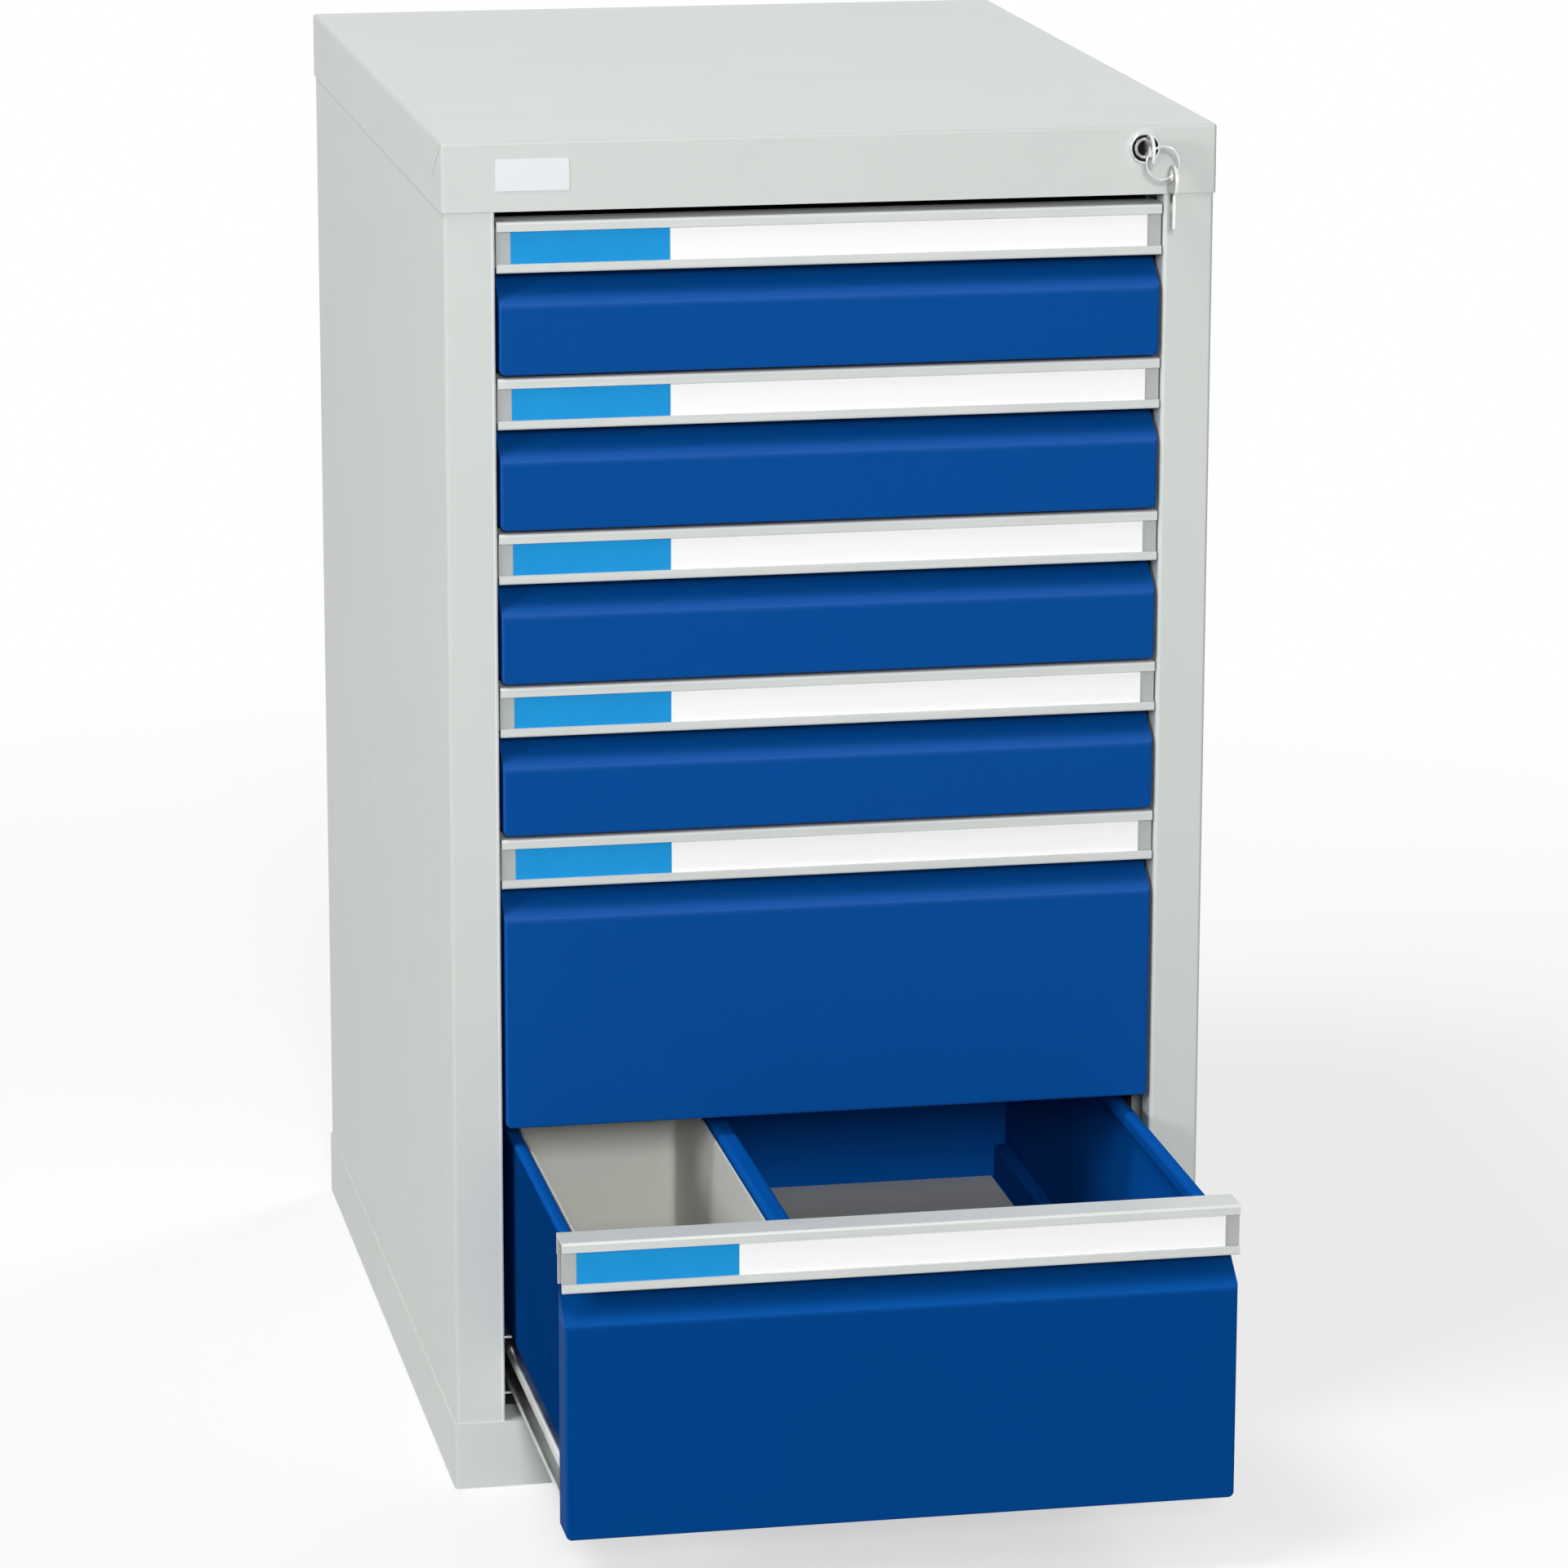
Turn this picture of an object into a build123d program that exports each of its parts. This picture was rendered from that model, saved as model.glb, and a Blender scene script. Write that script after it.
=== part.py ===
from build123d import *
import os
from math import cos, radians, sin, sqrt

# Floor-standing sheet steel cabinet with six drawers, a central lock and its keys.
# The origin is the centre of the base on the floor: X to the right, Y to the back, Z up.
# The lowest drawer stands part open and the others are shut. Sizes are in millimetres.

os.makedirs("parts", exist_ok=True)

# Whole cabinet
width = 450
depth = 600
height = 800
sheet = 1.0
bend = 2.0
cover_height = 40
plinth_height = 40
sleeve_gap = 0.1

# Carcass
opening_half = 194.5
stile_return = 18
rear_flange = 22
base_flange = 30
cover_lip_half = 188
cover_lip_depth = 14
seam_setback = 1
seam_run = 38
seam_drop = 24
seam_width = 0.6
seam_depth = 0.4
screw_levels = (110, 250, 390, 530, 670)
screw_radius = 2.0
screw_head_radius = 3.8
screw_head_height = 1.0
screw_head_edge = 0.6
screw_cross = (3.4, 0.9)
screw_cross_depth = 0.6
screw_length = 9
screw_hole_gap = 0.1

# Runner posts
post_inner_half = 192.6
post_sheet = 1.5
post_depth = 35
front_post_y = -262
rear_post_y = 165
post_slot = (4, 12)
post_slot_pitch = 30
post_slot_count = 23

# Drawers: front heights from the top down, and how far each stands open
front_heights = (88, 88, 88, 88, 174, 174)
opened = (0, 0, 0, 0, 0, 215)
top_gap = 6
front_gap = 2

# Drawer front
front_half = 192.5
front_sheet = 1.2
front_depth = 23
front_corner = 3.5
front_edge = 1.6
chamfer_depth = 20
chamfer_rise = 15
chamfer_foot = 47.5
front_top_gap = 2.4

# Grip strip, depths measured back from the drawer's front face
grip_half = 193.5
grip_height = 29.5
grip_nose = 1.5
grip_top_edge = 1.6
grip_bottom_edge = 1.2
grip_flange_end = 22.6
grip_flange = 2.0
grip_wall_front = 3.8
grip_wall_back = 5.2
top_lip = 5.6
bottom_lip = 5.2
label_groove = 2.0
clip_leg = 1.2
clip_inner_back = 19.8
clip_inner_drop = 28.5
clip_outer_drop = 12

# Label strip
label_half = 185.3
label_thickness = 0.5
label_play = 0.2

# Drawer box
wall_half = 187.5
lower_half = 180
box_length = 539
rim_drop = 9
rim_width = 8
rim_lip = 8
rim_bend = 3.5
step_height = 40.5
floor_height = 18
end_wall_drop = 6

# Slides, heights measured up from the bottom of the drawer front
rail_sheet = 1.2
rail_bend = 2.2
rail_length = 490
rail_low = 8.5
rail_high = 34.5
rail_reach = 189.5
rail_lip = 6
fixed_rail_low = 3.5
fixed_rail_high = 39.5
fixed_rail_reach = 183.4
fixed_rail_lip = 2.4
fixed_rail_bend = 1.6
fixed_rail_length = 500
fixed_rail_front = -272
ball_radius = 1.6
ball_x = 186.6
ball_pitch = 24
ball_count = 9
cage_width = 3.0
cage_thickness = 0.8
cage_length = 220
cage_front = -80

# Fittings of the lowest drawer
divider_x = -66.4
divider_top = 12
divider_lip = 8
tray_sheet = 1.2
tray_length = 330
tray_gap = 1.0
tray_drop = 4
tray_corner = 6
mat_thickness = 1.5

# Lock, keys and locking bar
lock_x = 182
lock_z = 787
lock_ring_radius = 9.2
lock_ring_height = 2.2
lock_ring_edge = 0.8
lock_recess_radius = 7.7
lock_recess_depth = 1.6
barrel_radius = 8
barrel_length = 19
core_radius = 6
core_play = 0.15
core_recess = 0.8
core_length = 21.5
core_dish_radius = 4.3
core_dish_depth = 0.8
keyway = (2.4, 6.8)
keyway_floor = 1
nut_flats = 19
nut_height = 4
cam_thickness = 2
cam_radius = 6
cam_throw = 8
cam_rest_angle = -45
pin_radius = 1.5
pin_length = 7
cam_screw_radius = 2
cam_screw_head = 3.5
cam_screw_depth = 5
cam_screw_head_height = 2.2
bar_left = 199
bar_width = 16
bar_front = -274
bar_thickness = 2.5
bar_bottom = 56
bar_arm_left = 182.5
bar_arm_half = 4.6
bar_slot_play = 0.55
bar_slot_end_play = 1.2
bar_tab_left = 194.6
bar_tab_height = 12
guide_levels = (150, 640)
guide_thickness = 2
guide_margin = 2
guide_play = 0.6
key_thickness = 1.8
key_hole_radius = 3.2
key_hole_y = -317
key_bow_radius = 9
key_bow_offset = 3
key_blade = 6
key_reach = 30.5
key_notch_start = 9
key_notch_pitch = 5
key_notch_count = 3
key_notch_side = 2.3
ring_radius = 9.5
ring_wire = 0.7
ring_hang_angle = 135
spare_key_x = 195
plate_left = -194
plate_size = (42, 18)
plate_corner = 1
plate_thickness = 0.4
plate_z = 780.7

# Places that follow from the driving sizes
side_x = width / 2 - sheet - sleeve_gap
side_y = depth / 2 - sheet - sleeve_gap
cover_inside = height - sheet
shut_face = -depth / 2
front_tops = []
next_top = height - cover_height - top_gap
for front_height in front_heights:
    front_tops.append(next_top)
    next_top -= front_height + front_gap
front_bottoms = [top - tall for top, tall in zip(front_tops, front_heights)]


def bent_section(points, radius, thickness):
    """Section of a sheet bent along the points, its thickness to the left of the path.

    The radius is the same at every bend, or a list with one for each.
    """
    with BuildSketch() as section:
        with BuildLine():
            FilletPolyline(*points, radius=radius)
            offset(amount=thickness, side=Side.LEFT)
        make_face()
    return section.sketch


def bar_section(left, low, right, high, mode=Mode.ADD):
    """Rectangle given by its corners, drawn into the open sketch."""
    with Locations(((left + right) / 2, (low + high) / 2)):
        Rectangle(right - left, high - low, mode=mode)


def save(piece, name):
    """Label a finished piece and write it under its own name."""
    piece.label = name
    export_step(piece, f"parts/{name}.step")


# Top cover: folded lid with an apron all round, a lip under the front apron and the lock hole.
# On each side a slanted seam shows where the end of the front apron is folded round the corner.
seam_head = (shut_face + seam_setback, height - seam_setback)
seam_foot = (shut_face + seam_run, height - seam_drop)
with BuildPart() as top_cover:
    with BuildSketch(Plane.XY.offset(height - cover_height)):
        Rectangle(width, depth)
    extrude(amount=cover_height)
    fillet(top_cover.edges().filter_by(Axis.Z), bend)
    fillet(top_cover.faces().sort_by(Axis.Z)[-1].edges(), bend)
    with BuildSketch(Plane.XY.offset(height - cover_height)):
        Rectangle(width - 2 * sheet, depth - 2 * sheet)
    extrude(amount=cover_height - sheet, mode=Mode.SUBTRACT)
    with BuildSketch(Plane.XY.offset(height - cover_height)):
        lip_back = shut_face + sheet + cover_lip_depth
        bar_section(-cover_lip_half, shut_face + sheet, cover_lip_half, lip_back)
    extrude(amount=sheet)
    with BuildSketch(Plane.XZ.offset(depth / 2)):
        with Locations((lock_x, lock_z)):
            Circle(barrel_radius + screw_hole_gap)
    extrude(amount=-sheet, mode=Mode.SUBTRACT)
    with BuildSketch(Plane.YZ.offset(-width / 2), Plane.YZ.offset(width / 2 - seam_depth)):
        with BuildLine():
            low_head = (seam_head[0], seam_head[1] - seam_width)
            low_foot = (seam_foot[0], seam_foot[1] - seam_width)
            Polyline(seam_head, seam_foot, low_foot, low_head, close=True)
        make_face()
    extrude(amount=seam_depth, mode=Mode.SUBTRACT)
save(top_cover.part, "top_cover")

# Side panels: rear flange, side, front stile and its return, in one folded sheet
screw_x = side_x - rear_flange / 2
side_path = [
    (-side_x + rear_flange, side_y),
    (-side_x, side_y),
    (-side_x, -side_y),
    (-opening_half, -side_y),
    (-opening_half, -side_y + stile_return),
]
with BuildPart() as left_side_panel:
    with BuildSketch(Plane.XY.offset(plinth_height)):
        add(bent_section(side_path, bend, sheet))
    extrude(amount=cover_inside - plinth_height)
    with BuildSketch(Plane.XZ.offset(-side_y)):
        with Locations(*[(-screw_x, level) for level in screw_levels]):
            Circle(screw_radius + screw_hole_gap)
    extrude(amount=sheet, mode=Mode.SUBTRACT)
save(left_side_panel.part, "left_side_panel")

with BuildPart() as right_side_panel:
    mirror(left_side_panel.part, about=Plane.YZ)
save(right_side_panel.part, "right_side_panel")

# Back panel: flat sheet screwed to the rear flanges from behind
back_half = side_x - sheet - bend
screw_spots = [(x, level) for x in (-screw_x, screw_x) for level in screw_levels]
with BuildPart() as back_panel:
    with BuildSketch(Plane.XZ.offset(-(side_y - sheet))):
        bar_section(-back_half, plinth_height, back_half, cover_inside)
        with Locations(*screw_spots):
            Circle(screw_radius + screw_hole_gap, mode=Mode.SUBTRACT)
    extrude(amount=sheet)
save(back_panel.part, "back_panel")

with BuildPart() as back_screws:
    with BuildSketch(Plane.XZ.offset(-side_y)):
        with Locations(*screw_spots):
            Circle(screw_head_radius)
    extrude(amount=-screw_head_height)
    fillet(back_screws.edges().group_by(Axis.Y)[-1], screw_head_edge)
    with BuildSketch(Plane.XZ.offset(-side_y - screw_head_height)):
        with Locations(*screw_spots):
            Rectangle(*screw_cross)
            Rectangle(*screw_cross[::-1])
    extrude(amount=screw_cross_depth, mode=Mode.SUBTRACT)
    with BuildSketch(Plane.XZ.offset(-side_y)):
        with Locations(*screw_spots):
            Circle(screw_radius)
    extrude(amount=screw_length)
save(back_screws.part, "back_screws")

# Base pan: plinth tray with a flat bottom and a flange folded inwards round its top
with BuildPart() as base_pan:
    with BuildSketch():
        Rectangle(width, depth)
    extrude(amount=plinth_height)
    fillet(base_pan.edges().filter_by(Axis.Z), bend)
    with BuildSketch(Plane.XY.offset(sheet)):
        Rectangle(width - 2 * sheet, depth - 2 * sheet)
    extrude(amount=plinth_height - 2 * sheet, mode=Mode.SUBTRACT)
    with BuildSketch(Plane.XY.offset(plinth_height)):
        Rectangle(width - 2 * base_flange, depth - 2 * base_flange)
    extrude(amount=-sheet, mode=Mode.SUBTRACT)
save(base_pan.part, "base_pan")

# Runner posts: slotted channels, front and rear on each side, open towards the side panel
slot_mid = plinth_height + (cover_inside - cover_height - plinth_height) / 2
with BuildPart() as left_runner_posts:
    with BuildSketch(Plane.XY.offset(plinth_height)):
        for post_y in (front_post_y, rear_post_y):
            bar_section(-side_x + sheet, post_y, -post_inner_half, post_y + post_depth)
            hollow_back = post_y + post_depth - post_sheet
            bar_section(-side_x + sheet, post_y + post_sheet, -post_inner_half - post_sheet,
                        hollow_back, mode=Mode.SUBTRACT)
    extrude(amount=cover_inside - plinth_height)
    with BuildSketch(Plane.YZ.offset(-post_inner_half)):
        for post_y in (front_post_y, rear_post_y):
            with Locations((post_y + post_depth / 2, slot_mid)):
                with GridLocations(post_slot[0], post_slot_pitch, 1, post_slot_count):
                    Rectangle(*post_slot)
    extrude(amount=-post_sheet, mode=Mode.SUBTRACT)
save(left_runner_posts.part, "left_runner_posts")

with BuildPart() as right_runner_posts:
    mirror(left_runner_posts.part, about=Plane.YZ)
save(right_runner_posts.part, "right_runner_posts")

# Cabinet rails: channels that open towards the drawers, one for each drawer
fixed_rail_path = [
    (-fixed_rail_reach, fixed_rail_high - fixed_rail_lip),
    (-fixed_rail_reach, fixed_rail_high),
    (-post_inner_half, fixed_rail_high),
    (-post_inner_half, fixed_rail_low),
    (-fixed_rail_reach, fixed_rail_low),
    (-fixed_rail_reach, fixed_rail_low + fixed_rail_lip),
]
with BuildPart() as left_cabinet_rails:
    with BuildSketch(Plane.XZ.offset(-fixed_rail_front)):
        with Locations(*[(0, bottom) for bottom in front_bottoms]):
            add(bent_section(fixed_rail_path, fixed_rail_bend, rail_sheet))
    extrude(amount=-fixed_rail_length)
save(left_cabinet_rails.part, "left_cabinet_rails")

with BuildPart() as right_cabinet_rails:
    mirror(left_cabinet_rails.part, about=Plane.YZ)
save(right_cabinet_rails.part, "right_cabinet_rails")

# Name plate: bare plate stuck on the apron
with BuildPart() as name_plate:
    with BuildSketch(Plane.XZ.offset(depth / 2)):
        with Locations((plate_left + plate_size[0] / 2, plate_z)):
            RectangleRounded(*plate_size, plate_corner)
    extrude(amount=plate_thickness)
save(name_plate.part, "name_plate")


def front_block(face, bottom, top, inset):
    """Solid inside the outline of a drawer front, drawn in by the inset on every side but the back."""
    slope = chamfer_rise / chamfer_depth
    foot = top - chamfer_foot
    drop = inset * sqrt(1 + slope * slope)
    back = face + front_depth + inset
    recess_back = face + chamfer_depth
    with BuildPart() as block:
        with BuildSketch(Plane.YZ):
            with BuildLine():
                corners = [
                    (back, bottom + inset),
                    (face + inset, bottom + inset),
                    (face + inset, foot + slope * inset - drop),
                ]
                if inset:
                    corners.append((back, foot + slope * (back - face) - drop))
                else:
                    corners.append((recess_back, foot + chamfer_rise))
                    corners.append((recess_back, top - front_top_gap))
                    corners.append((recess_back + front_sheet, top - front_top_gap))
                    corners.append((recess_back + front_sheet, foot + chamfer_rise - front_sheet))
                    corners.append((back, foot + chamfer_rise - front_sheet))
                Polyline(*corners, close=True)
            make_face()
        extrude(amount=front_half - inset, both=True)
        corner_edges = block.edges().filter_by(Axis.Y).group_by(Axis.Z)[0]
        fillet(corner_edges, front_corner - inset)
    return block.part


def drawer_front(face, bottom, top):
    """Folded front: flat face, sloped finger recess, upright behind the grip and folded sides."""
    with BuildPart() as front:
        add(front_block(face, bottom, top, 0))
        fillet(front.faces().sort_by(Axis.Y)[0].edges(), front_edge)
        add(front_block(face, bottom, top, front_sheet), mode=Mode.SUBTRACT)
    return front.part


def drawer_grip(face, top):
    """Aluminium strip: top flange, label channel, and a long and a short leg over the front's upright."""
    low = top - grip_height
    nose = face + grip_nose
    wall_front = face + grip_wall_front
    wall_back = face + grip_wall_back
    end = face + grip_flange_end
    clip_back = face + clip_inner_back
    with BuildPart() as grip:
        with BuildSketch(Plane.YZ):
            bar_section(nose, top - grip_flange, end, top)
            bar_section(wall_front, low, wall_back, top)
            bar_section(nose, top - top_lip, wall_back, top)
            bar_section(nose, low, wall_back, low + bottom_lip)
            bar_section(clip_back - clip_leg, top - clip_inner_drop, clip_back, top)
            bar_section(end - clip_leg, top - clip_outer_drop, end, top)
            groove_front = wall_front - label_thickness - label_play
            bar_section(groove_front, top - top_lip, wall_front, top - top_lip + label_groove,
                        mode=Mode.SUBTRACT)
            bar_section(groove_front, low + bottom_lip - label_groove, wall_front,
                        low + bottom_lip, mode=Mode.SUBTRACT)
        extrude(amount=grip_half, both=True)
        nose_edges = grip.edges().filter_by(Axis.X).group_by(Axis.Y)[0]
        fillet(nose_edges.sort_by(Axis.Z)[-1], grip_top_edge)
        fillet(nose_edges.sort_by(Axis.Z)[0], grip_bottom_edge)
    return grip.part


def drawer_label(face, top):
    """Printed strip that slides into the grip's channel."""
    back = face + grip_wall_front - label_play / 2
    high = top - top_lip + label_groove - label_play
    low = top - grip_height + bottom_lip - label_groove + label_play
    with BuildPart() as label:
        with BuildSketch(Plane.YZ):
            bar_section(back - label_thickness, low, back, high)
        extrude(amount=label_half, both=True)
    return label.part


def drawer_box(face, bottom, top):
    """Folded tray: rolled rims, walls stepped in above the slides, floor, front and back wall."""
    rim = top - rim_drop
    step = bottom + step_height
    floor = bottom + floor_height
    left_half = [
        (-wall_half + rim_width, rim - rim_lip),
        (-wall_half + rim_width, rim),
        (-wall_half, rim),
        (-wall_half, step),
        (-lower_half, step),
        (-lower_half, floor),
    ]
    right_half = [(-x, z) for x, z in reversed(left_half)]
    left_bends = [rim_bend, rim_bend, bend, bend, bend]
    rear = face + front_depth + box_length
    with BuildPart() as box:
        with BuildSketch(Plane.XZ.offset(-rear)):
            add(bent_section(left_half + right_half, left_bends + left_bends[::-1], sheet))
        extrude(amount=box_length)
        with BuildSketch(Plane.XZ.offset(-rear), Plane.XZ.offset(-(rear - box_length + sheet))):
            bar_section(-wall_half + sheet / 2, step + sheet / 2, wall_half - sheet / 2, rim - end_wall_drop)
            bar_section(-lower_half + sheet / 2, floor + sheet / 2, lower_half - sheet / 2, step + sheet)
        extrude(amount=sheet)
    return box.part


def drawer_rails(face, bottom):
    """Slide members on the drawer's lower sides: lipped channels that open outwards."""
    low = bottom + rail_low
    high = bottom + rail_high
    path = [
        (-rail_reach, low + rail_lip),
        (-rail_reach, low),
        (-lower_half, low),
        (-lower_half, high),
        (-rail_reach, high),
        (-rail_reach, high - rail_lip),
    ]
    with BuildPart() as rails:
        with BuildSketch(Plane.XZ.offset(-(face + front_depth))) as section:
            add(bent_section(path, rail_bend, rail_sheet))
            mirror(section.sketch, about=Plane.YZ)
        extrude(amount=-rail_length)
    return rails.part


def ball_cages(moved, bottom):
    """Cage strips with their balls, above and below the drawer's slide members."""
    gap_half = (fixed_rail_high - rail_sheet - rail_high) / 2
    upper = bottom + rail_high + gap_half
    lower = bottom + rail_low - gap_half
    middle = cage_front + cage_length / 2 - moved
    strips = [(x, middle, z) for x in (-ball_x, ball_x) for z in (lower, upper)]
    with BuildPart() as cages:
        for strip in strips:
            with Locations(strip):
                Box(cage_width, cage_length, cage_thickness)
                with GridLocations(cage_width, ball_pitch, 1, ball_count):
                    Sphere(ball_radius)
    return cages.part


# Drawers, from the top down: each piece is saved under the drawer's number
for number, (bottom, top, travel) in enumerate(zip(front_bottoms, front_tops, opened), start=1):
    face = shut_face - travel
    save(drawer_box(face, bottom, top), f"drawer_{number}_box")
    save(drawer_front(face, bottom, top), f"drawer_{number}_front")
    save(drawer_grip(face, top), f"drawer_{number}_grip")
    save(drawer_label(face, top), f"drawer_{number}_label")
    save(drawer_rails(face, bottom), f"drawer_{number}_rails")
    save(ball_cages(travel / 2, bottom), f"drawer_{number}_ball_cages")

# Inside of the lowest drawer
low_face = shut_face - opened[-1]
low_front = low_face + front_depth + sheet
low_back = low_face + front_depth + box_length - sheet
low_floor = front_bottoms[-1] + floor_height + sheet
low_rim = front_tops[-1] - rim_drop

# Divider: upright sheet from front to back with its top folded over
divider_path = [
    (divider_x + divider_top, low_rim - divider_lip),
    (divider_x + divider_top, low_rim),
    (divider_x, low_rim),
    (divider_x, low_floor),
]
with BuildPart() as drawer_6_divider:
    with BuildSketch(Plane.XZ.offset(-low_back)):
        add(bent_section(divider_path, rim_bend, sheet))
    extrude(amount=low_back - low_front)
save(drawer_6_divider.part, "drawer_6_divider")

# Insert tray: open box that fills the bay at the left of the divider
tray_left = -lower_half + sheet + tray_gap
tray_right = divider_x - tray_gap
tray_back = low_front + tray_gap + tray_length
with BuildPart() as drawer_6_insert_tray:
    with BuildSketch(Plane.XY.offset(low_floor)):
        bar_section(tray_left, low_front + tray_gap, tray_right, tray_back)
    extrude(amount=low_rim - tray_drop - low_floor)
    fillet(drawer_6_insert_tray.edges().filter_by(Axis.Z), tray_corner)
    tray_mouth = drawer_6_insert_tray.faces().sort_by(Axis.Z)[-1]
    offset(amount=-tray_sheet, openings=tray_mouth)
save(drawer_6_insert_tray.part, "drawer_6_insert_tray")

# Floor mat: lies in the bay at the right of the divider
with BuildPart() as drawer_6_floor_mat:
    with BuildSketch(Plane.XY.offset(low_floor)):
        mat_right = lower_half - sheet - bend
        bar_section(divider_x + sheet + tray_gap, low_front + tray_gap, mat_right, low_back - tray_gap)
    extrude(amount=mat_thickness)
save(drawer_6_floor_mat.part, "drawer_6_floor_mat")

# Lock housing: chrome ring with a recess round the core, in front of the apron, and the barrel through it
lock_plane = Plane((lock_x, shut_face, lock_z), x_dir=(1, 0, 0), z_dir=(0, -1, 0))
with BuildPart() as lock_housing:
    with BuildSketch(lock_plane):
        Circle(lock_ring_radius)
    extrude(amount=lock_ring_height)
    fillet(lock_housing.faces().sort_by(Axis.Y)[0].edges(), lock_ring_edge)
    with BuildSketch(lock_plane):
        Circle(barrel_radius)
    extrude(amount=-barrel_length)
    with BuildSketch(lock_plane.offset(lock_ring_height)):
        Circle(core_radius + core_play)
    extrude(amount=-lock_ring_height - barrel_length, mode=Mode.SUBTRACT)
    with BuildSketch(lock_plane.offset(lock_ring_height)):
        Circle(lock_recess_radius)
    extrude(amount=-lock_recess_depth, mode=Mode.SUBTRACT)
save(lock_housing.part, "lock_housing")

# Lock nut: holds the barrel from behind the apron
with BuildPart() as lock_nut:
    with BuildSketch(lock_plane.offset(-sheet)):
        RegularPolygon(nut_flats / 2, 6, major_radius=False, rotation=30)
        Circle(barrel_radius + screw_hole_gap, mode=Mode.SUBTRACT)
    extrude(amount=-nut_height)
save(lock_nut.part, "lock_nut")

# Lock cylinder: turning core with the keyway in its dished front and a tapped hole behind
core_front = lock_ring_height - core_recess
with BuildPart() as lock_cylinder:
    with BuildSketch(lock_plane.offset(core_front)):
        Circle(core_radius)
    extrude(amount=-core_length)
    with BuildSketch(lock_plane.offset(core_front)):
        Circle(core_dish_radius)
    extrude(amount=-core_dish_depth, mode=Mode.SUBTRACT)
    with BuildSketch(lock_plane.offset(core_front)):
        Rectangle(*keyway)
    keyway_depth = core_length - cam_screw_depth - keyway_floor
    extrude(amount=-keyway_depth, mode=Mode.SUBTRACT)
    with BuildSketch(lock_plane.offset(core_front - core_length)):
        Circle(cam_screw_radius + screw_hole_gap)
    extrude(amount=cam_screw_depth, mode=Mode.SUBTRACT)
save(lock_cylinder.part, "lock_cylinder")

# Lock cam: arm behind the core, with the pin that lifts the locking bar
cam_plane = lock_plane.offset(core_front - core_length)
pin_spot = (cam_throw * cos(radians(cam_rest_angle)), cam_throw * sin(radians(cam_rest_angle)))
with BuildPart() as lock_cam:
    with BuildSketch(cam_plane):
        Circle(cam_radius)
        with Locations(pin_spot):
            Circle(cam_radius / 2)
        make_hull()
        Circle(cam_screw_radius + screw_hole_gap, mode=Mode.SUBTRACT)
    extrude(amount=-cam_thickness)
    with BuildSketch(cam_plane.offset(-cam_thickness)):
        with Locations(pin_spot):
            Circle(pin_radius)
    extrude(amount=-pin_length)
save(lock_cam.part, "lock_cam")

with BuildPart() as cam_screw:
    with BuildSketch(cam_plane.offset(-cam_thickness)):
        Circle(cam_screw_head)
    extrude(amount=-cam_screw_head_height)
    with BuildSketch(cam_plane.offset(-cam_thickness)):
        Circle(cam_screw_radius)
    extrude(amount=cam_thickness + cam_screw_depth - screw_hole_gap)
save(cam_screw.part, "cam_screw")

# Locking bar: upright strip behind the right stile, with a slotted arm for the cam's pin and a tab
# beside each drawer
pin_x = lock_x + pin_spot[0]
pin_z = lock_z + pin_spot[1]
bar_right = bar_left + bar_width
with BuildPart() as locking_bar:
    with BuildSketch(Plane.XZ.offset(-bar_front)):
        bar_section(bar_left, bar_bottom, bar_right, pin_z + bar_arm_half)
        bar_section(bar_arm_left, pin_z - bar_arm_half, bar_right, pin_z + bar_arm_half)
        for bottom in front_bottoms:
            tab_low = bottom + (rail_low + rail_high - bar_tab_height) / 2
            bar_section(bar_tab_left, tab_low, bar_left, tab_low + bar_tab_height)
        slot_low = pin_z - pin_radius - bar_slot_play
        slot_left = pin_x - pin_radius - bar_slot_end_play
        slot_right = lock_x + cam_throw + pin_radius + bar_slot_end_play
        bar_section(slot_left, slot_low, slot_right, 2 * pin_z - slot_low, mode=Mode.SUBTRACT)
    extrude(amount=-bar_thickness)
save(locking_bar.part, "locking_bar")

# Bar guides: two plates on the right side panel with a window for the bar
with BuildPart() as bar_guides:
    with BuildSketch(*[Plane.XY.offset(level) for level in guide_levels]):
        guide_left = bar_left - guide_play - guide_margin
        guide_back = bar_front + bar_thickness + guide_play + guide_margin
        bar_section(guide_left, bar_front - guide_play - guide_margin, side_x - sheet, guide_back)
        bar_section(bar_left - guide_play, bar_front - guide_play, bar_right + guide_play,
                    bar_front + bar_thickness + guide_play, mode=Mode.SUBTRACT)
    extrude(amount=guide_thickness)
save(bar_guides.part, "bar_guides")


def key_shape(plane):
    """Flat key: round bow about its hole and a notched blade along the plane's X axis."""
    half = key_blade / 2
    bow_end = key_bow_offset + key_bow_radius
    with BuildPart() as key:
        with BuildSketch(plane):
            with Locations((key_bow_offset, 0)):
                Circle(key_bow_radius)
            bar_section(key_bow_offset, -half, key_reach, half)
            for notch in range(key_notch_count):
                with Locations((bow_end + key_notch_start + key_notch_pitch * notch, half)):
                    Rectangle(key_notch_side, key_notch_side, rotation=45, mode=Mode.SUBTRACT)
            Circle(key_hole_radius, mode=Mode.SUBTRACT)
        extrude(amount=key_thickness / 2, both=True)
    return key.part


# Keys and ring: the key in the lock, the ring through its bow and the spare key on the ring
key_plane = Plane((lock_x, key_hole_y, lock_z), x_dir=(0, 1, 0), z_dir=(1, 0, 0))
save(key_shape(key_plane), "key")

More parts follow.
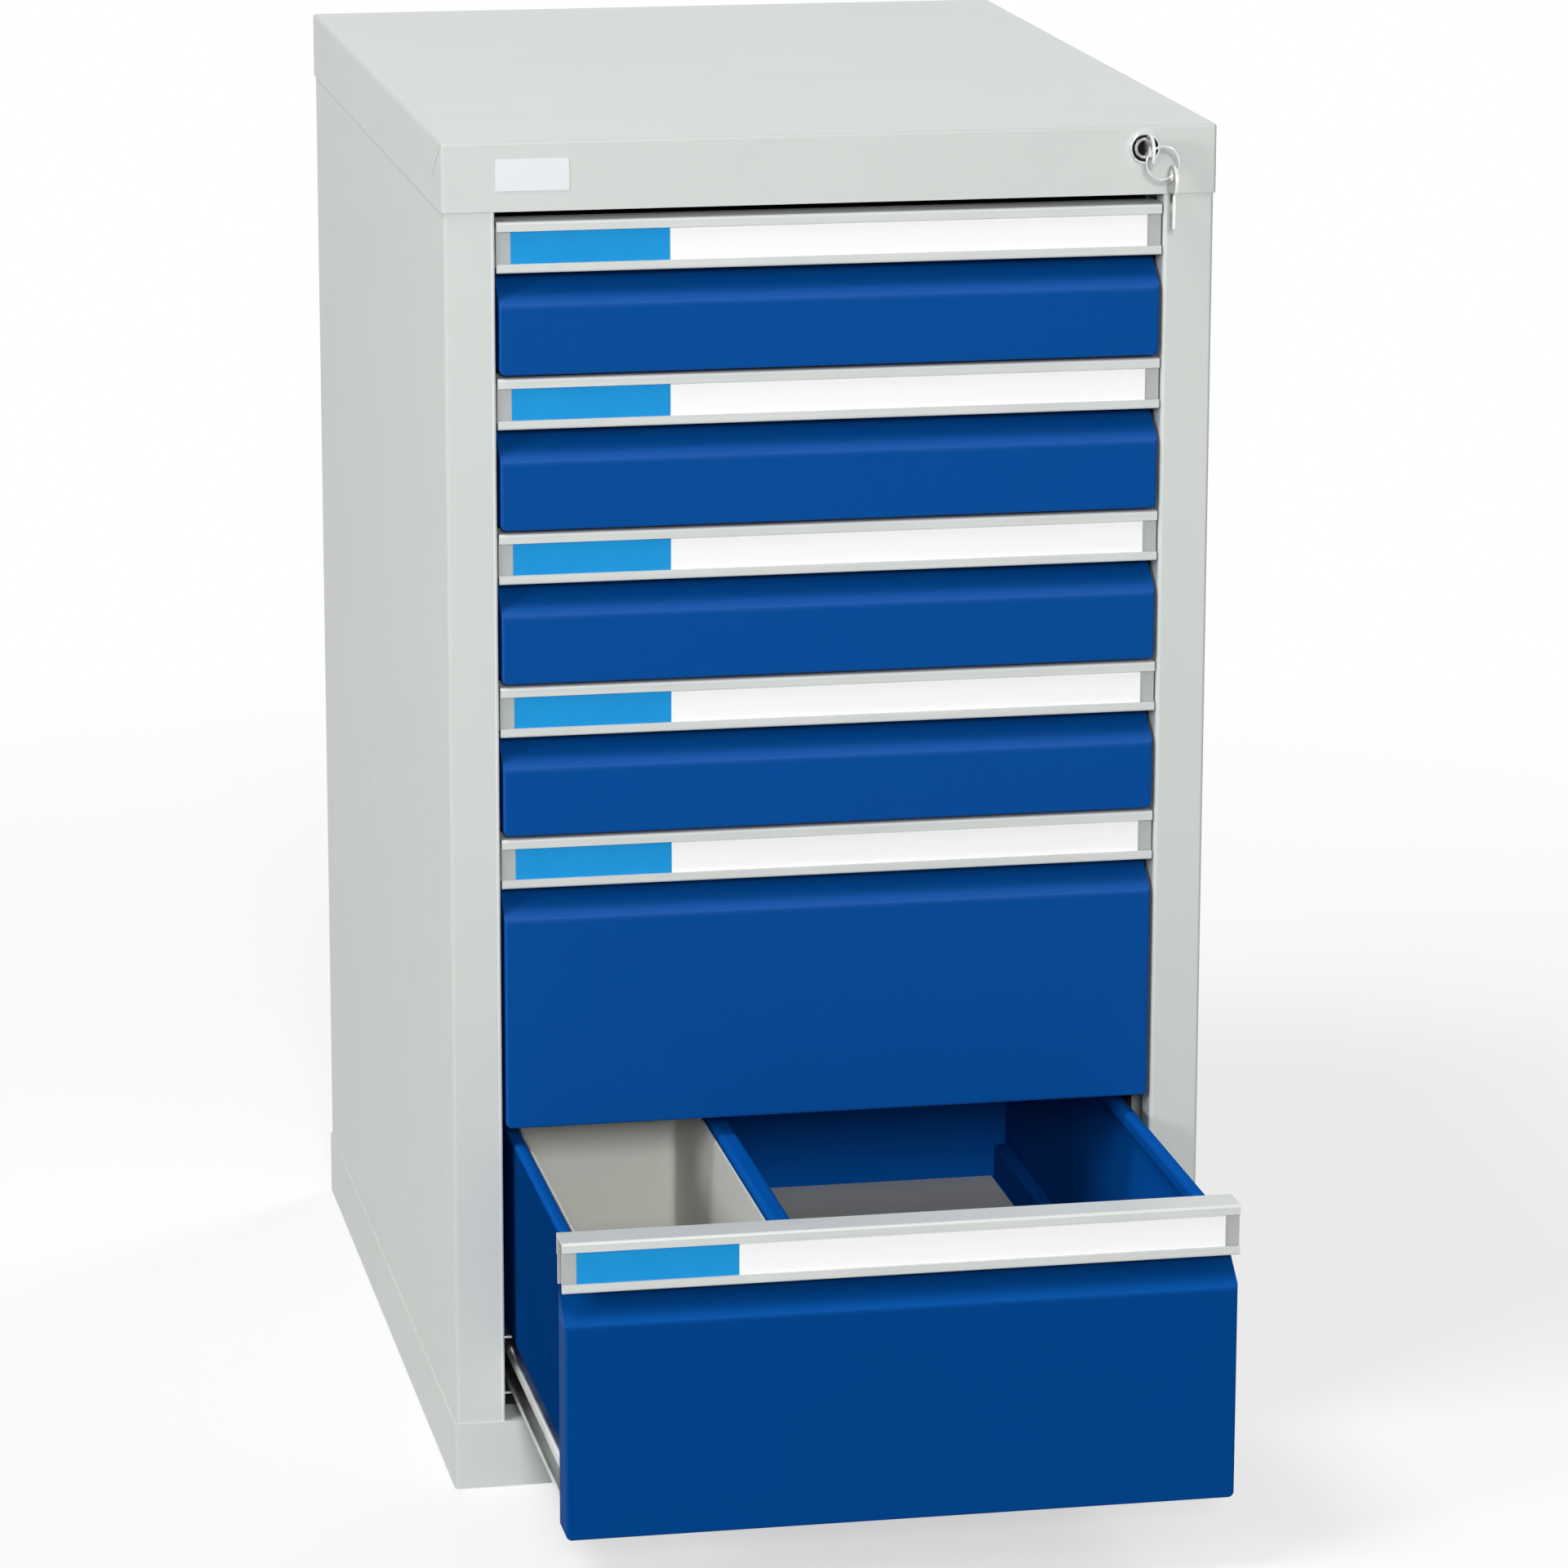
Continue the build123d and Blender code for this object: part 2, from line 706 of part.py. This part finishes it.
hang = radians(ring_hang_angle)
ring_x = lock_x - ring_radius * cos(hang)
ring_z = lock_z - ring_radius * sin(hang)
ring_plane = Plane((ring_x, key_hole_y, ring_z), x_dir=(1, 0, 0), z_dir=(0, 1, 0))
with BuildPart(ring_plane) as key_ring:
    Torus(ring_radius, ring_wire)
save(key_ring.part, "key_ring")

spare_drop = sqrt(ring_radius ** 2 - (spare_key_x - ring_x) ** 2)
spare_plane = Plane((spare_key_x, key_hole_y, ring_z - spare_drop), x_dir=(0, 0, -1), z_dir=(1, 0, 0))
save(key_shape(spare_plane), "spare_key")
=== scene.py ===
from math import cos, pi, radians, sin

import bmesh
import bpy
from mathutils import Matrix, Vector


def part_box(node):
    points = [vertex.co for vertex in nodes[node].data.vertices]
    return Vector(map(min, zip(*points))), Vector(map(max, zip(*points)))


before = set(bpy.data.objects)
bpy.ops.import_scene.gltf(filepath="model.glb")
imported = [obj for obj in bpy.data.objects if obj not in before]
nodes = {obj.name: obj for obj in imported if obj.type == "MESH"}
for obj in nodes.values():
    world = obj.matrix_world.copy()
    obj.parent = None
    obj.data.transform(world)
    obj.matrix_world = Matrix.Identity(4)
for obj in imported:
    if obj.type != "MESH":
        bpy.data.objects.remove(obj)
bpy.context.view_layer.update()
scene = bpy.context.scene


# Base pan: the plinth that the cabinet stands on, a tray of folded sheet steel with a flange round its top.
# It is spot welded at the corners and powder coated light grey with the rest of the carcass, which gives
# a satin face with a fine orange peel.
class Signal:
    """One output socket of a finish. Sums on it add Math nodes to that finish."""

    def __init__(self, socket):
        self.socket = socket
        self.tree = socket.id_data

    def node(self, kind, settings, inputs, output=0):
        """Add a node, set it up, feed its sockets, and give back one of its outputs."""
        made = self.tree.nodes.new("ShaderNode" + kind)
        for name, value in settings.items():
            setattr(made, name, value)
        for name, value in inputs.items():
            if isinstance(value, Signal):
                self.tree.links.new(value.socket, made.inputs[name])
            else:
                made.inputs[name].default_value = value
        return Signal(made.outputs[output])

    def sum(self, operation, first, second):
        """One Math node on two values."""
        return self.node("Math", {"operation": operation}, {0: first, 1: second})

    def __add__(self, other):
        return self.sum("ADD", self, other)

    def __radd__(self, other):
        return self.sum("ADD", other, self)

    def __sub__(self, other):
        return self.sum("SUBTRACT", self, other)

    def __rsub__(self, other):
        return self.sum("SUBTRACT", other, self)

    def __mul__(self, other):
        return self.sum("MULTIPLY", self, other)

    def __rmul__(self, other):
        return self.sum("MULTIPLY", other, self)

    def __gt__(self, other):
        return self.sum("GREATER_THAN", self, other)

    def __lt__(self, other):
        return self.sum("LESS_THAN", self, other)

    def span(self, low, high):
        """0 below low, 1 above high, and a straight run between them."""
        return self.node("MapRange", {"clamp": True}, {"Value": self, "From Min": low, "From Max": high})

    def tint(self, low, high):
        """Colour that goes from low to high as this value goes from 0 to 1."""
        ends = [end if isinstance(end, Signal) else (*end, 1) for end in (low, high)]
        return self.node("Mix", {"data_type": "RGBA"}, {0: self, 6: ends[0], 7: ends[1]}, 2)

    def axis(self, name):
        """One coordinate of a place or a direction."""
        return self.node("SeparateXYZ", {}, {0: self}, name)

    def along(self, direction):
        """How far a direction points along another one, from -1 to 1."""
        return self.node("VectorMath", {"operation": "DOT_PRODUCT"}, {0: self, 1: direction}, "Value")

    def stretched(self, x, y, z):
        """The same place with its coordinates multiplied."""
        return self.node("VectorMath", {"operation": "MULTIPLY"}, {0: self, 1: (x, y, z)})

    def noise(self, per_mm, detail):
        """Cloudy value about 0.5, with so many clouds to the millimetre."""
        return self.node("TexNoise", {}, {"Vector": self, "Scale": per_mm, "Detail": detail})

    def facing(self):
        """The way that the surface faces, in the piece's own directions."""
        return self.node("TexCoord", {}, {}, "Normal")

    def bumped(self, depth, strength):
        """Surface direction over a relief of so many metres that follows this value."""
        return self.node("Bump", {}, {"Strength": strength, "Distance": depth, "Height": self})

    def feed(self, shader, name):
        """Link this value to a socket of a shader."""
        self.tree.links.new(self.socket, shader.inputs[name])


mm = 1000


def new_finish(name):
    """Empty finish, its shader, and the place on the piece in millimetres."""
    finish = bpy.data.materials.new(name)
    finish.use_nodes = True
    tree = finish.node_tree
    shader = tree.nodes["Principled BSDF"]
    place = Signal(tree.nodes.new("ShaderNodeTexCoord").outputs["Object"])
    return finish, shader, place.stretched(mm, mm, mm)


def shade(colour, share):
    """The same colour with a share of its light."""
    return [share * channel for channel in colour]


def powder_coat(name, colour, gloss, roughness):
    """Baked coat with orange peel, fine grit and a slow drift of tone. Gives its shader, place and tone too."""
    finish, shader, place = new_finish(name)
    peel = place.noise(per_mm=0.42, detail=1.0)
    grit = place.noise(per_mm=2.6, detail=2.0)
    drift = place.noise(per_mm=0.011, detail=3.0).span(0.3, 0.7)
    polish = place.noise(per_mm=0.05, detail=3.0)
    body = drift.tint(shade(colour, 0.975), colour)
    fleck_colour = [1.08 * channel + 0.004 for channel in colour]
    flecks = 0.3 * grit.span(0.6, 0.8)
    tone = flecks.tint(body, fleck_colour)
    tone.feed(shader, "Base Color")
    (roughness + 0.1 * (polish - 0.5) + 0.06 * (grit - 0.5)).feed(shader, "Roughness")
    (peel + 0.25 * grit).bumped(depth=0.00006, strength=0.35).feed(shader, "Normal")
    shader.inputs["Specular IOR Level"].default_value = gloss
    return finish, shader, place, tone


def wear(node, finish):
    """Give a CAD piece its finish."""
    mesh = nodes[node].data
    mesh.materials.clear()
    mesh.materials.append(finish)


def folds(place, *flats):
    """1 on the round of a fold, 0 on faces that lie square to an axis or face along one of the flats."""
    still_flat = 0.01
    full_round = 0.12
    facing = place.facing()
    square = facing.node("VectorMath", {"operation": "ABSOLUTE"}, {0: facing})
    nearest = place.sum("MAXIMUM", square.axis("X"), square.axis("Y"))
    nearest = place.sum("MAXIMUM", nearest, square.axis("Z"))
    for flat in flats:
        nearest = place.sum("MAXIMUM", nearest, facing.along(flat))
    return (1 - nearest).span(still_flat, full_round)


light_grey = (0.60, 0.633, 0.606)


def grey_coat(name):
    """Light grey coat of the carcass, a little darker over the folds as painted shade."""
    finish, shader, place, tone = powder_coat(name, light_grey, gloss=0.35, roughness=0.42)
    # Painted shade: the folds are darkened.
    fold_shade = folds(place).tint(tone, shade(light_grey, 0.88))
    fold_shade.feed(shader, "Base Color")
    return finish, shader, place, fold_shade


base_coat, *_ = grey_coat("light_grey_powder_coat")
wear("base_pan", base_coat)

# Side panels: one folded sheet each, from the rear flange round the side to the front stile and its return.
# They are coated light grey before the cabinet is put together. A painted highlight lightens the stile's edge
# beside the opening, stronger on the left than on the right.
opening_half = 194.5
highlight_width = 2.2
highlight_grey = (0.82, 0.84, 0.82)
left_highlight = 0.9
right_highlight = 0.2
stile_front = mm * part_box("left_side_panel")[0].y
side_coat, shader, place, tone = grey_coat("side_powder_coat")
across = place.axis("X")
# Painted highlight along the stile's edge beside the opening.
beside_opening = across * across < (opening_half + highlight_width) ** 2
highlight_edge = beside_opening * (place.axis("Y") < stile_front + highlight_width)
highlight_strength = right_highlight + (left_highlight - right_highlight) * (across < 0)
(highlight_strength * highlight_edge).tint(tone, highlight_grey).feed(shader, "Base Color")
wear("left_side_panel", side_coat)
wear("right_side_panel", side_coat)

# Back panel: a flat coated sheet against the rear flanges, held from behind by a row of screws at each side.
# The screws are bright zinc with turned heads.
wear("back_panel", base_coat)
# Colour of the painted highlight along the folds of zinc plate.
zinc_fold_highlight = (0.9, 0.9, 0.9)


def zinc_plate(name, colour, roughness, streak):
    """Bright zinc on rolled steel: streaks drawn along the piece, a cloudy bloom, and a painted highlight along
    the folds.
    """
    finish, shader, place = new_finish(name)
    drawn = place.stretched(*streak).noise(per_mm=1.0, detail=3.0)
    bloom = place.noise(per_mm=0.03, detail=3.0).span(0.35, 0.7)
    tone = bloom.tint(shade(colour, 0.8), colour)
    # Painted highlight along the folds.
    (0.4 * folds(place)).tint(tone, zinc_fold_highlight).feed(shader, "Base Color")
    (roughness + 0.22 * (drawn - 0.5) + 0.08 * bloom).feed(shader, "Roughness")
    drawn.bumped(depth=0.00003, strength=0.25).feed(shader, "Normal")
    shader.inputs["Metallic"].default_value = 1.0
    return finish


zinc_turned = zinc_plate("zinc_turned", (0.66, 0.67, 0.66), roughness=0.3, streak=(1.2, 0.2, 1.2))
wear("back_screws", zinc_turned)

# Runner posts and cabinet rails: slotted uprights welded inside the sides, and the fixed members of the
# drawer slides hooked into them. Both are roll formed from zinc plated strip.
zinc_upright = zinc_plate("zinc_upright", (0.6, 0.61, 0.6), roughness=0.36, streak=(0.9, 0.9, 0.02))
zinc_rail = zinc_plate("zinc_rail", (0.7, 0.71, 0.69), roughness=0.3, streak=(0.9, 0.02, 0.9))
for side in ("left", "right"):
    wear(f"{side}_runner_posts", zinc_upright)
    wear(f"{side}_cabinet_rails", zinc_rail)

# Top cover: a lid folded from one sheet with an apron on all four sides, slipped over the sides and welded
# at its corners. It carries the same coat as the sides.
wear("top_cover", base_coat)

# Name plate: a small bare plate at the left of the apron. It is cut from white film with a smooth satin face,
# and stuck on.
film_shaded = (0.71, 0.735, 0.755)
film_white = (0.75, 0.775, 0.795)
plate_film, shader, place = new_finish("white_film")
place.noise(per_mm=0.08, detail=2.0).tint(film_shaded, film_white).feed(shader, "Base Color")
(0.34 + 0.12 * place.noise(per_mm=0.4, detail=2.0)).feed(shader, "Roughness")
wear("name_plate", plate_film)

# Lock: a chromed ring and barrel through the apron with its nut behind, and a turning core with the keyway in
# it. The recess round the core and the dish round the keyway are darkened with painted shade. A cam is screwed
# on the tail.
hollow_shade = (0.02, 0.02, 0.022)


def plated(name, colour, dull_colour, roughness, shade_radius=0):
    """Plated metal with fine hairlines and handling marks, with painted shade within a radius of the lock's
    axis.
    """
    finish, shader, place = new_finish(name)
    smear = place.noise(per_mm=0.25, detail=3.0)
    hairline = place.stretched(6, 0.4, 0.4).noise(per_mm=1.0, detail=2.0)
    low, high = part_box("lock_cylinder")
    middle = 0.5 * mm * (low + high)
    spread = place.node("VectorMath", {"operation": "DISTANCE"},
                        {0: place.stretched(1, 0, 1), 1: (middle.x, 0, middle.z)}, "Value")
    bright = smear.span(0.3, 0.75).tint(dull_colour, colour)
    # Painted shade in the hollows round the lock's axis.
    (spread < shade_radius).tint(bright, hollow_shade).feed(shader, "Base Color")
    (roughness + 0.1 * (smear - 0.4) + 0.06 * (hairline - 0.5)).feed(shader, "Roughness")
    hairline.bumped(depth=0.00002, strength=0.12).feed(shader, "Normal")
    shader.inputs["Metallic"].default_value = 1.0
    return finish


recess_radius = 7.75
dish_radius = 4.35
chrome = ((0.83, 0.84, 0.85), (0.7, 0.71, 0.72))
wear("lock_housing", plated("ring_chrome", *chrome, roughness=0.1, shade_radius=recess_radius))
wear("lock_nut", zinc_turned)
wear("lock_cylinder", plated("core_chrome", *chrome, roughness=0.16, shade_radius=dish_radius))
wear("lock_cam", zinc_turned)
wear("cam_screw", zinc_turned)

# Locking bar: a flat bar behind the right stile, cut from zinc plated strip, with a slot for the cam's pin.
# It slides up and down in two guide plates on the side panel.
wear("locking_bar", zinc_upright)
wear("bar_guides", zinc_upright)

# Drawer fronts: folded from sheet with a sloped finger recess under the grip, and coated blue. A painted
# highlight runs along the foot of the recess and round the front's folds, and painted shadow darkens the slope
# up under the grip. The lowest front is given a deeper blue as painted shade.
drawers = range(1, 7)
lowest_drawer = 6
recess_slope = (0, -0.6, 0.8)
recess_foot_drop = 45.1
recess_rise = 15
highlight_reach = 3
highlight_core = 0.5
upper_blue = {"colour": (0.001, 0.067, 0.292), "pale": (0.012, 0.086, 0.338), "gloss": 0.04}
# The lowest front's deeper blue and deeper highlight blue are painted shade.
shaded_lowest_blue = {"colour": (0.0005, 0.053, 0.232), "pale": (0.003, 0.075, 0.315), "gloss": 0.01}


def front_coat(name, foot, colour, pale, gloss):
    """Blue coat of a front, with the foot of its finger recess at that height."""
    finish, shader, place, tone = powder_coat(name, colour, gloss, roughness=0.5)
    climb = place.axis("Z") - foot
    # Painted shadow: darker up the slope, under the grip.
    slope_shadow = climb.span(0.25 * recess_rise, recess_rise).tint(tone, shade(colour, 0.8))
    # Painted highlight: a band along the foot of the recess, and the front's folds.
    foot_highlight = climb.span(-highlight_reach, -highlight_core) * (1 - climb.span(highlight_core, 0.5 * recess_rise))
    edge_highlight = 0.5 * folds(place, recess_slope)
    place.sum("MAXIMUM", foot_highlight, edge_highlight).tint(slope_shadow, pale).feed(shader, "Base Color")
    return finish


for number in drawers:
    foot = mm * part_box(f"drawer_{number}_front")[1].z - recess_foot_drop
    blue = shaded_lowest_blue if number == lowest_drawer else upper_blue
    wear(f"drawer_{number}_front", front_coat(f"blue_front_coat_{number}", foot, **blue))

# Drawer boxes and slides: folded trays with rolled rims, coated blue, with painted shade on the outside of
# their walls and a painted highlight round the rims and folds.
# They run on zinc plated slide members with steel balls in cages between them.
outer_wall_reach = 150
box_blue = (0.002, 0.084, 0.366)
rim_highlight_blue = (0.004, 0.09, 0.38)
wall_shade_deep = (0.0008, 0.039, 0.177)
wall_shade_blue = (0.001, 0.043, 0.193)
box_coat, shader, place, tone = powder_coat("blue_box_coat", box_blue, gloss=0.0, roughness=0.6)
# Painted shade: the outer faces of the walls get a deeper blue.
outside = place.axis("X") * place.facing().axis("X") > outer_wall_reach
outer_wall_shade = place.noise(per_mm=0.011, detail=3.0).tint(wall_shade_deep, wall_shade_blue)
# Painted highlight round the rims and other folds.
rim = 0.7 * folds(place)
rim.tint(outside.tint(tone, outer_wall_shade), rim_highlight_blue).feed(shader, "Base Color")
ball_steel = plated("ball_steel", (0.6, 0.6, 0.6), (0.5, 0.5, 0.5), roughness=0.16)
for number in drawers:
    wear(f"drawer_{number}_box", box_coat)
    wear(f"drawer_{number}_rails", zinc_rail)
    wear(f"drawer_{number}_ball_cages", ball_steel)

# Grip strips: aluminium extrusions clipped over the top of each front, anodised a pale satin. A painted
# highlight runs along the folds. The wall behind the label lies deeper than the lips and is darkened with
# painted shade.
lip_depth = 2.3
wall_margin = 0.2
satin_shaded = (0.56, 0.583, 0.563)
satin_light = (0.65, 0.673, 0.65)
fold_highlight = (0.72, 0.73, 0.72)
recess_shade_grey = (0.41, 0.435, 0.43)


def anodised(name, wall):
    """Anodised extrusion with draw lines along it, a painted highlight along its folds, and painted shade where
    it faces front behind the wall.
    """
    finish, shader, place = new_finish(name)
    drawn = place.stretched(0.006, 3.0, 3.0).noise(per_mm=1.0, detail=3.0)
    haze = place.noise(per_mm=0.02, detail=2.0)
    satin = (0.6 * drawn + 0.4 * haze).span(0.3, 0.7).tint(satin_shaded, satin_light)
    # Painted highlight along the folds.
    bright = (0.5 * folds(place)).tint(satin, fold_highlight)
    # Painted shade on the front-facing wall behind the lips.
    faces_front = place.facing().along((0, -1, 0)) > 0.9
    behind = faces_front * (place.axis("Y") > wall)
    behind.tint(bright, recess_shade_grey).feed(shader, "Base Color")
    (0.45 + 0.16 * (drawn - 0.5)).feed(shader, "Roughness")
    drawn.bumped(depth=0.00002, strength=0.2).feed(shader, "Normal")
    shader.inputs["Metallic"].default_value = 0.1
    shader.inputs["Specular IOR Level"].default_value = 0.3
    return finish


for number in drawers:
    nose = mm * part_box(f"drawer_{number}_grip")[0].y
    wear(f"drawer_{number}_grip", anodised(f"anodised_grip_{number}", nose + lip_depth - wall_margin))

# Label strips: card slipped in behind the lips of each grip. It is printed light blue over the left quarter
# and left white beyond.
colour_field_end = -93.6
card_shaded = (0.885, 0.885, 0.875)
card_white = (0.935, 0.935, 0.925)
ink_deep = (0.007, 0.26, 0.62)
ink_light = (0.011, 0.30, 0.67)
label_card, shader, place = new_finish("printed_card")
fibre = place.noise(per_mm=1.6, detail=3.0)
white = fibre.tint(card_shaded, card_white)
ink = place.noise(per_mm=0.05, detail=2.0).tint(ink_deep, ink_light)
(place.axis("X") < colour_field_end).tint(white, ink).feed(shader, "Base Color")
(0.45 + 0.15 * fibre).feed(shader, "Roughness")
fibre.bumped(depth=0.00002, strength=0.15).feed(shader, "Normal")
shader.inputs["Specular IOR Level"].default_value = 0.12
for number in drawers:
    wear(f"drawer_{number}_label", label_card)

# Fittings of the lowest drawer: a blue divider with its top folded over, a light grey insert tray at the left
# of it, and a grey rubber mat on the floor at the right. The tray is folded and coated, and the mat lies loose.
tray_grey = (0.66, 0.665, 0.61)
mat_shaded = (0.61, 0.60, 0.54)
mat_light = (0.70, 0.69, 0.625)
wear("drawer_6_divider", box_coat)
tray_coat, *_ = powder_coat("tray_grey_coat", tray_grey, gloss=0.2, roughness=0.5)
wear("drawer_6_insert_tray", tray_coat)
mat_rubber, shader, place = new_finish("mat_rubber")
crumb = place.noise(per_mm=0.9, detail=3.0)
patchy = place.noise(per_mm=0.04, detail=3.0)
(0.6 * patchy + 0.4 * crumb).tint(mat_shaded, mat_light).feed(shader, "Base Color")
(0.7 + 0.2 * crumb).feed(shader, "Roughness")
crumb.bumped(depth=0.0001, strength=0.3).feed(shader, "Normal")
wear("drawer_6_floor_mat", mat_rubber)

# Keys: the key in the lock, a spring-steel ring through its bow, and the spare key on the ring. The keys are
# stamped from nickel plated brass, dull on the flats, with a painted highlight round the rim.
nickel_dull = (0.42, 0.41, 0.39)
nickel_brushed = (0.52, 0.51, 0.49)
nickel_rim_highlight = (0.86, 0.86, 0.84)
key_nickel, shader, place = new_finish("key_nickel")
brushed = place.stretched(0.5, 0.5, 4).noise(per_mm=1.0, detail=2.0)
flat = place.facing().along((1, 0, 0))
# Painted highlight round the key's rim; the flats stay dull.
key_rim_highlight = 1 - (flat * flat).span(0.5, 0.9)
key_rim_highlight.tint(brushed.tint(nickel_dull, nickel_brushed), nickel_rim_highlight).feed(shader, "Base Color")
(0.2 + 0.15 * brushed).feed(shader, "Roughness")
brushed.bumped(depth=0.00003, strength=0.2).feed(shader, "Normal")
shader.inputs["Metallic"].default_value = 1.0
wear("key", key_nickel)
wear("key_ring", plated("ring_wire_chrome", *chrome, roughness=0.12))
wear("spare_key", key_nickel)

# Studio: a round pale floor that fades to white, a white surround, a soft box high on the left, two lower ones
# at the left and in front that reach into the open drawer, and a weak one behind.
floor_radius = 4.0
floor_gap = 0.0005
floor_grey = 0.4
floor_glow = 0.57
fade_start = 800
fade_end = 1900
floor_mesh = bpy.data.meshes.new("studio_floor")
form = bmesh.new()
bmesh.ops.create_circle(form, cap_ends=True, segments=96, radius=floor_radius)
form.to_mesh(floor_mesh)
form.free()
floor = bpy.data.objects.new("studio_floor", floor_mesh)
floor.location.z = -floor_gap
scene.collection.objects.link(floor)


def shown_to(tree):
    """1 for rays that the camera, a mirror or a clear body sends, 0 for those that carry light."""
    seen = Signal(tree.nodes.new("ShaderNodeLightPath").outputs["Is Camera Ray"])
    glossy = seen.node("LightPath", {}, {}, "Is Glossy Ray")
    through = seen.node("LightPath", {}, {}, "Is Transmission Ray")
    return seen.sum("MINIMUM", seen + glossy + through, 1.0)


floor_paint, shader, place = new_finish("studio_floor_paint")
tree = floor_paint.node_tree
shader.inputs["Base Color"].default_value = (floor_grey, floor_grey, floor_grey, 1)
shader.inputs["Roughness"].default_value = 0.9
shader.inputs["Specular IOR Level"].default_value = 0.0
shader.inputs["Emission Strength"].default_value = 1.0
shown = shown_to(tree)
shown.tint((0, 0, 0), (floor_glow, floor_glow, floor_glow)).feed(shader, "Emission Color")
white_out = shown.node("Emission", {}, {"Color": (1, 1, 1, 1), "Strength": 1.0})
spread = place.node("VectorMath", {"operation": "LENGTH"}, {0: place}, "Value")
fade = shown * spread.span(fade_start, fade_end)
whole = shown.node("MixShader", {}, {0: fade, 1: Signal(shader.outputs[0]), 2: white_out})
tree.links.new(whole.socket, tree.nodes["Material Output"].inputs["Surface"])
floor_mesh.materials.append(floor_paint)

surround_light = 0.26
world = bpy.data.worlds.new("studio_surround")
scene.world = world
world.use_nodes = True
surround = world.node_tree.nodes["Background"]
surround.inputs["Color"].default_value = (1, 1, 1, 1)
(surround_light + (1 - surround_light) * shown_to(world.node_tree)).feed(surround, "Strength")


def soft_box(name, bearing, height, distance, size, level):
    """Square lamp aimed at the cabinet, at a bearing and height in degrees, bright to a level of full white."""
    aim = Vector((0, -0.2, 0.45))
    turn = radians(bearing)
    lift = radians(height)
    towards = Vector((cos(lift) * sin(turn), -cos(lift) * cos(turn), sin(lift)))
    lamp = bpy.data.lights.new(name, "AREA")
    lamp.size = size
    lamp.energy = level * pi ** 2 * distance ** 2
    made = bpy.data.objects.new(name, lamp)
    made.location = aim + distance * towards
    made.rotation_euler = (-towards).to_track_quat("-Z", "Y").to_euler()
    scene.collection.objects.link(made)


soft_box("high_box", bearing=-65, height=60, distance=5.0, size=1.7, level=0.44)
soft_box("side_box", bearing=-62, height=16, distance=5.5, size=1.2, level=0.3)
soft_box("front_box", bearing=-8, height=18.5, distance=6.5, size=1.0, level=0.51)
soft_box("back_box", bearing=130, height=30, distance=5.5, size=2.0, level=0.32)

# Camera: stands to the left of the cabinet and above it, far off with a long lens.
camera_data = bpy.data.cameras.new("photo_camera")
camera_data.lens = 146.82
camera_data.sensor_width = 36.0
camera_data.clip_end = 60.0
camera = bpy.data.objects.new("photo_camera", camera_data)
camera.location = (-0.7142, -3.8429, 1.3125)
camera.rotation_euler = (radians(76.116), radians(-0.103), radians(-10.938))
scene.collection.objects.link(camera)
scene.camera = camera
scene.view_settings.view_transform = "Standard"
